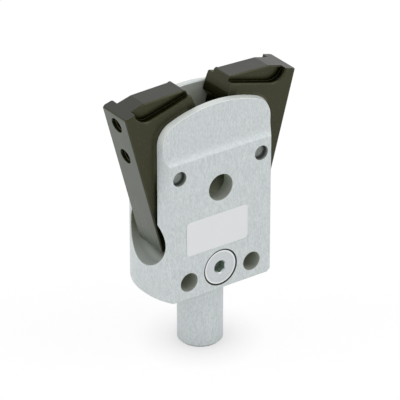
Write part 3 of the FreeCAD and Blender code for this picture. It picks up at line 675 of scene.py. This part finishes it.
def groundMetal(kind):
    f = metalFinish
    material, tree, shader = newMaterial(kind["name"], Metallic=kind["metallic"])
    lines = useGroup(tree, "lines", (-700, 160), **kind["lines"])
    stain = useGroup(tree, "stain", (-700, -40), **f["stain"])
    edge = useGroup(tree, "edge", (-700, -240), **f["wear"])
    tone = mixColour(tree, lines.outputs["Line"], (-360, 180), kind["dark"], kind["light"])
    faint = share(tree, stain.outputs["Cloud"], (-360, -40), f["stainShare"])
    colour = mixColour(tree, faint, (-120, 160), tone, kind["dark"])
    # painted shade ring round the rim of the pin's end
    if "rim" in kind:
        at = objectParts(tree, (-1300, -500))
        away = distanceFrom(tree, at["fold"], (-700, -500), pinPlace)
        rim = remap(tree, away, (-500, -500), *metres(kind["rim"]))
        colour = mixColour(tree, rim, (60, 160), colour, kind["rimShade"])
    roughEnds = [kind["rough"] * value for value in f["roughShares"]]
    rough = spread(tree, lines.outputs["Line"], (120, -60), roughEnds)
    normal = bump(tree, lines.outputs["Height"], (300, -220), f["bump"], edge.outputs["Normal"])
    feed(tree, shader, Base_Color=colour, Roughness=rough, Normal=normal)
    return material


# port plug: zinc plate

plugFinish = {
    "bright": (0.64, 0.665, 0.68), "dull": (0.48, 0.505, 0.515), "edge": (0.76, 0.785, 0.79),
    # painted shade colours for the gap round the head and inside the socket
    "oilAndShade": (0.06, 0.07, 0.056), "socket": (0.20, 0.26, 0.215), "socketHalf": 1.52,
    "radius": 4.85, "rim": (0.24, 0.12), "glint": (0.56, 0.42),  # in from the head's radius
    "rings": 9000.0, "bump": (0.10, 0.03), "stain": {"Scale": 400.0}, "stainShare": 0.4,
    "wear": {"Width": 0.15 * mm, "Break": 0.3}, "rough": (0.36, 0.24),
}


def zincPlate():
    f = plugFinish
    material, tree, shader = newMaterial("zincPlate")
    rings = useGroup(tree, "rings", (-700, 160), Centre=metres(plugPlace), Flatten=(1, 0, 1),
                     Rings=f["rings"])
    stain = useGroup(tree, "stain", (-700, -60), **f["stain"])
    edge = useGroup(tree, "edge", (-700, -240), **f["wear"])
    tone = mixColour(tree, rings.outputs["Ring"], (-360, 180), f["dull"], f["bright"])
    faint = share(tree, stain.outputs["Cloud"], (-360, -40), f["stainShare"])
    cloudy = mixColour(tree, faint, (-120, 160), tone, f["dull"])
    # painted shade: the six-sided socket and the gap round the head are painted dark
    at = objectParts(tree, (-1300, -460))
    across = None
    for row, turn in enumerate((0.0, math.pi / 3, -math.pi / 3)):
        level = -800 - 160 * row
        side = (math.cos(turn), 0, math.sin(turn))
        out = lengthAlong(tree, at["fold"], (-700, level), plugPlace, side)
        across = out if across is None else mathNode(tree, "MAXIMUM", (-320, level), across, out)
    deep = mathNode(tree, "LESS_THAN", (-160, -460), across, f["socketHalf"] * mm)
    away = distanceFrom(tree, at["fold"], (-520, -640), plugPlace)
    rim = remap(tree, away, (-160, -640), *metres(f["radius"] - value for value in f["rim"]))
    # a painted highlight on the edge of the head just inside that gap
    edged = remap(tree, away, (-160, -800), *metres(f["radius"] - value for value in f["glint"]))
    glinting = mixColour(tree, edged, (-20, 300), cloudy, f["edge"])
    socket = mixColour(tree, deep, (60, 160), glinting, f["socket"])
    shaded = mixColour(tree, rim, (200, 160), socket, f["oilAndShade"])
    paintedShade = mathNode(tree, "MAXIMUM", (40, -520), deep, rim)
    metallic = mathNode(tree, "SUBTRACT", (220, -400), 1.0, paintedShade)
    rough = spread(tree, rings.outputs["Ring"], (120, -60), f["rough"])
    normal = bump(tree, rings.outputs["Height"], (300, -220), f["bump"], edge.outputs["Normal"])
    feed(tree, shader, Base_Color=shaded, Metallic=metallic, Roughness=rough, Normal=normal)
    return material


# seals: rubber

sealFinish = {
    "dark": (0.010, 0.010, 0.011), "light": (0.024, 0.024, 0.025), "rough": (0.62, 0.5), "ior": 1.5,
    "grain": {"Scale": 4200.0, "Stretch": (1, 1, 1)}, "bump": (0.15, 0.03),
}


def sealRubber():
    f = sealFinish
    material, tree, shader = newMaterial("sealRubber", Metallic=0.0, IOR=f["ior"])
    grain = useGroup(tree, "grain", (-500, 120), **f["grain"])
    tone = mixColour(tree, grain.outputs["Speckle"], (-120, 140), f["dark"], f["light"])
    rough = spread(tree, grain.outputs["Speckle"], (-120, -60), f["rough"])
    normal = bump(tree, grain.outputs["Height"], (220, -160), f["bump"])
    feed(tree, shader, Base_Color=tone, Roughness=rough, Normal=normal)
    return material


# label: satin film

labelFinish = {
    "paper": (0.735, 0.75, 0.76), "shade": (0.685, 0.70, 0.71), "rough": (0.34, 0.46), "ior": 1.46,
    "grain": {"Scale": 5200.0, "Stretch": (1, 1, 1)}, "grainShare": 0.35, "bump": (0.05, 0.02),
    "stain": {"Scale": 160.0}, "stainShare": 0.3, "wear": {"Width": 0.1 * mm, "Break": 0.5},
}


def labelFilm():
    f = labelFinish
    material, tree, shader = newMaterial("labelFilm", Metallic=0.0, IOR=f["ior"])
    grain = useGroup(tree, "grain", (-700, 160), **f["grain"])
    stain = useGroup(tree, "stain", (-700, -60), **f["stain"])
    edge = useGroup(tree, "edge", (-700, -240), **f["wear"])
    specks = share(tree, grain.outputs["Speckle"], (-480, 160), f["grainShare"])
    tone = mixColour(tree, specks, (-300, 180), f["paper"], f["shade"])
    faint = share(tree, stain.outputs["Cloud"], (-360, -40), f["stainShare"])
    cloudy = mixColour(tree, faint, (-60, 160), tone, f["shade"])
    rough = spread(tree, stain.outputs["Cloud"], (120, -60), f["rough"])
    normal = bump(tree, grain.outputs["Height"], (300, -220), f["bump"], edge.outputs["Normal"])
    feed(tree, shader, Base_Color=cloudy, Roughness=rough, Normal=normal)
    return material


finishes = {"body": blastedAluminium(), "jaw": burnishedSteel(), "plug": zincPlate(), "seal": sealRubber()}
for slot, kind in metalKinds.items():
    finishes[slot] = groundMetal(kind)
for entry in frame["record"]["subparts"]:
    node = nodes[entry["node"]]
    node.data.materials.clear()
    node.data.materials.append(finishes[entry["material_slot"]])
    node.data.shade_smooth()
    node.data.set_sharp_from_angle(angle=sharpAngle)
print("materials made:", len(finishes))


# new pieces

def meshFromRows(name, rows):
    # joins rings of points into a closed tube with a face at each end
    work = bmesh.new()
    rings = [[work.verts.new(point) for point in row] for row in rows]
    count = len(rings[0])
    for low, high in zip(rings, rings[1:]):
        for i in range(count):
            j = (i + 1) % count
            work.faces.new((low[i], low[j], high[j], high[i]))
    work.faces.new(rings[0])
    work.faces.new(rings[-1])
    bmesh.ops.recalc_face_normals(work, faces=work.faces)
    mesh = bpy.data.meshes.new(name)
    work.to_mesh(mesh)
    work.free()
    return mesh


def makeObject(name, mesh, material, body):
    obj = bpy.data.objects.new(name, mesh)
    bpy.context.scene.collection.objects.link(obj)
    obj.data.materials.append(material)
    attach(obj, body)
    return obj


def anglesRound(count):
    return [2 * math.pi * i / count for i in range(count)]


labelPlate = {
    "left": -10.5, "right": 8.3, "low": 12.2, "high": 21.82,  # heights above the shoulder
    "corner": 1.0, "cornerSteps": 8, "thick": 0.12,
    "soft": 0.05, "upright": 0.6,  # inset of the rim, and the share of the thickness below it
}


def makeLabel():
    # thin bare film on the front flat, corners rounded and its rim pressed down
    p = labelPlate
    corners = (
        (p["right"], p["low"], -90), (p["right"], p["high"], 0),
        (p["left"], p["high"], 90), (p["left"], p["low"], 180),
    )
    outline = []
    for x, z, begin in corners:
        turnX = x - math.copysign(p["corner"], x)
        turnZ = z + (p["corner"] if z == p["low"] else -p["corner"])
        for step in range(p["cornerSteps"] + 1):
            angle = math.radians(begin + step * 90 / p["cornerSteps"])
            outline.append((turnX + p["corner"] * math.cos(angle), turnZ + p["corner"] * math.sin(angle)))
    middleX = (p["left"] + p["right"]) / 2
    middleZ = (p["low"] + p["high"]) / 2
    levels = ((0.0, 0.0), (p["thick"] * p["upright"], 0.0), (p["thick"], p["soft"]))
    rows = []
    for lift, inset in levels:
        row = []
        for x, z in outline:
            insetX = x - math.copysign(inset, x - middleX)
            insetZ = z - math.copysign(inset, z - middleZ)
            row.append(metres((insetX, -(gripper["flat"] + lift), insetZ + gripper["shankLength"])))
        rows.append(row)
    return makeObject("labelPlate", meshFromRows("labelPlate", rows), labelFilm(), "base")


makeLabel()

threadCut = {
    "pitch": 0.8, "steps": 36, "mouth": 0.4, "endHeight": 0.05,
    "wall": 2.1, "root": 2.12, "rootHalf": 0.36, "ridge": 0.16, "crestHalf": 0.07,
}
threadHoles = [
    # name, body, slot, side of the gripper or 0 for its axis, distance up the jaw, depth
    ("leftUpperThread", "left_lever", "jaw", -1, 17.6, 6.6),
    ("leftLowerThread", "left_lever", "jaw", -1, 8.0, 6.6),
    ("rightUpperThread", "right_lever", "jaw", 1, 17.6, 6.6),
    ("rightLowerThread", "right_lever", "jaw", 1, 8.0, 6.6),
    ("inletThread", "base", "body", 0, 0.0, 8.4),
]


def threadPlace(side, along):
    # mouth of the hole, the way into it, and a direction across it
    if side == 0:
        return Vector((0, 0, 0)), Vector((0, 0, 1)), Vector((1, 0, 0))
    x = gripper["pinX"] + gripper["jawOuter"] * tiltCos + along * tiltSin
    z = gripper["pinHeight"] - gripper["jawOuter"] * tiltSin + along * tiltCos
    return Vector((side * x, 0, z)), Vector((-side * tiltCos, 0, tiltSin)), Vector((0, 1, 0))


def makeThread(name, body, slot, side, along, depth):
    # a ridge that winds into the hole and runs out at both ends
    p = threadCut
    mouth, inward, across = threadPlace(side, along)
    other = inward.cross(across)
    count = int((depth - p["mouth"]) / p["pitch"] * p["steps"])
    rows = []
    for step in range(count + 1):
        turn = step / p["steps"]
        angle = 2 * math.pi * turn
        out = across * math.cos(angle) + other * math.sin(angle)
        fade = min(1.0, turn, (count - step) / p["steps"] + p["endHeight"])
        crest = p["wall"] - p["ridge"] * fade
        deep = p["mouth"] + p["pitch"] * turn
        profile = (
            (p["root"], -p["rootHalf"]), (crest, -p["crestHalf"]),
            (crest, p["crestHalf"]), (p["root"], p["rootHalf"]),
        )
        rows.append([(mouth + out * radius + inward * (deep + shift)) * mm for radius, shift in profile])
    mesh = meshFromRows(name, rows)
    mesh.shade_smooth()
    return makeObject(name, mesh, finishes[slot], body)


for hole in threadHoles:
    makeThread(*hole)
print("label and threads made")

pinEnds = {
    "chamfer": 0.25, "dish": 0.10, "sides": 48,
    "flatShare": 0.3, "slopeShare": 0.55, "slopeDepth": 0.4,  # shares of the radius, then of the dish
}


def makePin(name, node):
    # ground pin with chamfered ends, each turned slightly hollow
    p = pinEnds
    low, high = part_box(node)
    middle = (low + high) / 2
    radius = (high.x - low.x) / 2
    half = (high.y - low.y) / 2
    cut = p["chamfer"] * mm
    dish = p["dish"] * mm
    ending = [
        (radius * p["flatShare"], half - dish), (radius * p["slopeShare"], half - dish * p["slopeDepth"]),
        (radius - cut, half), (radius, half - cut),
    ]
    profile = [(r, -y) for r, y in ending] + ending[::-1]
    rows = []
    for r, y in profile:
        rows.append([middle + Vector((r * math.cos(a), y, r * math.sin(a))) for a in anglesRound(p["sides"])])
    mesh = meshFromRows(name, rows)
    mesh.shade_smooth()
    mesh.set_sharp_from_angle(angle=sharpAngle)
    pin = makeObject(name, mesh, finishes["pin"], "base")
    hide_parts(node)
    return pin


makePin("leftPivotPin", "left_pivot_pin")
makePin("rightPivotPin", "right_pivot_pin")
print("pins made")

coil = {
    "turns": 7.0, "closed": 1.0, "closedPitch": 1.04,  # pitch of the end turns, in wires
    "wire": 0.7, "outer": 3.6, "steps": 40, "sides": 10, "keep": 0.79,
}


def makeSpring():
    # round wire coil with closed ends, between the pocket floors in the jaws
    p = coil
    low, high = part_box("return_spring")
    middle = (low + high) / 2
    half = (high.x - low.x) / 2 - p["wire"] * mm / 2
    radius = (p["outer"] - p["wire"]) / 2 * mm
    wire = p["wire"] / 2 * mm
    closedPitch = p["wire"] * p["closedPitch"] * mm
    openTurns = p["turns"] - 2 * p["closed"]
    openPitch = (2 * half - 2 * p["closed"] * closedPitch) / openTurns
    rows = []
    for step in range(int(p["turns"] * p["steps"]) + 1):
        turn = step / p["steps"]
        closedStart = min(turn, p["closed"])
        closedEnd = max(0.0, turn - p["turns"] + p["closed"])
        along = (closedStart + closedEnd) * closedPitch + (turn - closedStart - closedEnd) * openPitch
        angle = 2 * math.pi * turn
        out = Vector((0, math.cos(angle), math.sin(angle)))
        centre = middle + out * radius + Vector((along - half, 0, 0))
        rows.append([
            centre + out * (wire * math.cos(a)) + Vector((wire * math.sin(a), 0, 0))
            for a in anglesRound(p["sides"])
        ])
    mesh = meshFromRows("springCoil", rows)
    mesh.shade_smooth()
    spring = makeObject("springCoil", mesh, finishes["spring"], "base")
    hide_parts("return_spring")
    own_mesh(spring)
    return spring


makeSpring()
print("spring made")


# floor, light and camera

floorLook = {
    "size": 6.0, "tone": (0.84, 1.0), "lift": 0.8,  # tone for other rays, then where it is seen
    "closed": 0.65, "contact": 0.83, "reach": 12.0 * mm, "samples": 16,
}


def makeFloor():
    p = floorLook
    half = p["size"] / 2
    mesh = bpy.data.meshes.new("floor")
    corners = [(-half, -half, 0), (half, -half, 0), (half, half, 0), (-half, half, 0)]
    mesh.from_pydata(corners, [], [(0, 1, 2, 3)])
    floor = bpy.data.objects.new("floor", mesh)
    bpy.context.scene.collection.objects.link(floor)
    material = bpy.data.materials.new("paleFloor")
    tree = clearTree(material)
    output = addNode(tree, "ShaderNodeOutputMaterial", (500, 0))
    diffuse = addNode(tree, "ShaderNodeBsdfDiffuse", (260, 0))
    white = addNode(tree, "ShaderNodeEmission", (260, -140))
    ray = addNode(tree, "ShaderNodeLightPath", (-500, 0))
    seen = mathNode(tree, "MAXIMUM", (-280, 0), ray.outputs["Is Camera Ray"], ray.outputs["Is Glossy Ray"])
    tone = spread(tree, seen, (-80, 0), p["tone"])
    # the shade draws in close to the foot of the shank
    around = addNode(tree, "ShaderNodeAmbientOcclusion", (-500, -240), samples=p["samples"])
    setInputs(around, Distance=p["reach"])
    contact = remap(tree, around.outputs["AO"], (-280, -240), p["closed"], 1, p["contact"], 1.0)
    feed(tree, diffuse, Color=mathNode(tree, "MULTIPLY", (100, -60), tone, contact))
    feed(tree, white, Color=contact)
    lift = mathNode(tree, "MULTIPLY", (260, 160), ray.outputs["Is Camera Ray"], p["lift"])
    lifted = addNode(tree, "ShaderNodeMixShader", (400, 60))
    for index, source in enumerate((lift, diffuse.outputs[0], white.outputs[0])):
        tree.links.new(source, lifted.inputs[index])
    tree.links.new(lifted.outputs[0], output.inputs[0])
    mesh.materials.append(material)


def placeAimed(name, data, place, direction):
    obj = bpy.data.objects.new(name, data)
    obj.location = place
    obj.rotation_mode = "QUATERNION"
    obj.rotation_quaternion = direction.to_track_quat("-Z", "Y")
    bpy.context.scene.collection.objects.link(obj)
    return obj


studio = {"sky": (0.875, 1.0), "white": (1, 1, 1, 1)}  # strength for other rays, then where it is seen
lamps = [
    # name, place, aim, width, watts
    ("rampLamp", (0.46, -0.42, 0.68), (0, 0, 0.04), 0.5, 1.4),
    ("leftLamp", (-0.70, 0.30, 0.55), (0, 0, 0.04), 0.5, 1.3),
]


def makeLight():
    world = bpy.data.worlds.new("studio")
    bpy.context.scene.world = world
    tree = clearTree(world)
    output = addNode(tree, "ShaderNodeOutputWorld", (500, 0))
    sky = addNode(tree, "ShaderNodeBackground", (260, 0))
    setInputs(sky, Color=studio["white"])
    ray = addNode(tree, "ShaderNodeLightPath", (-500, 0))
    feed(tree, sky, Strength=spread(tree, ray.outputs["Is Camera Ray"], (40, 0), studio["sky"]))
    tree.links.new(sky.outputs[0], output.inputs[0])
    for name, place, aim, width, watts in lamps:
        data = bpy.data.lights.new(name, "AREA")
        data.shape = "SQUARE"
        data.size = width
        data.energy = watts
        placeAimed(name, data, place, Vector(aim) - Vector(place))


photoView = {
    "azimuth": math.radians(-35.10), "elevation": math.radians(28.23), "distance": 776.7, "height": 40.08,
    "focal": 3058.7, "pixels": 400, "sensor": 36.0, "clip": (0.05, 20.0),  # focal length in pixels
}


def makeCamera():
    p = photoView
    level = math.cos(p["elevation"])
    back = Vector((math.sin(p["azimuth"]) * level, -math.cos(p["azimuth"]) * level, math.sin(p["elevation"])))
    data = bpy.data.cameras.new("photoCamera")
    data.sensor_width = p["sensor"]
    data.lens = p["focal"] / p["pixels"] * p["sensor"]
    data.clip_start, data.clip_end = p["clip"]
    place = Vector((0, 0, p["height"] * mm)) + back * (p["distance"] * mm)
    bpy.context.scene.camera = placeAimed("photoCamera", data, place, -back)


makeFloor()
makeLight()
makeCamera()
bpy.context.scene.view_settings.view_transform = "Standard"
print("floor, light and camera made")
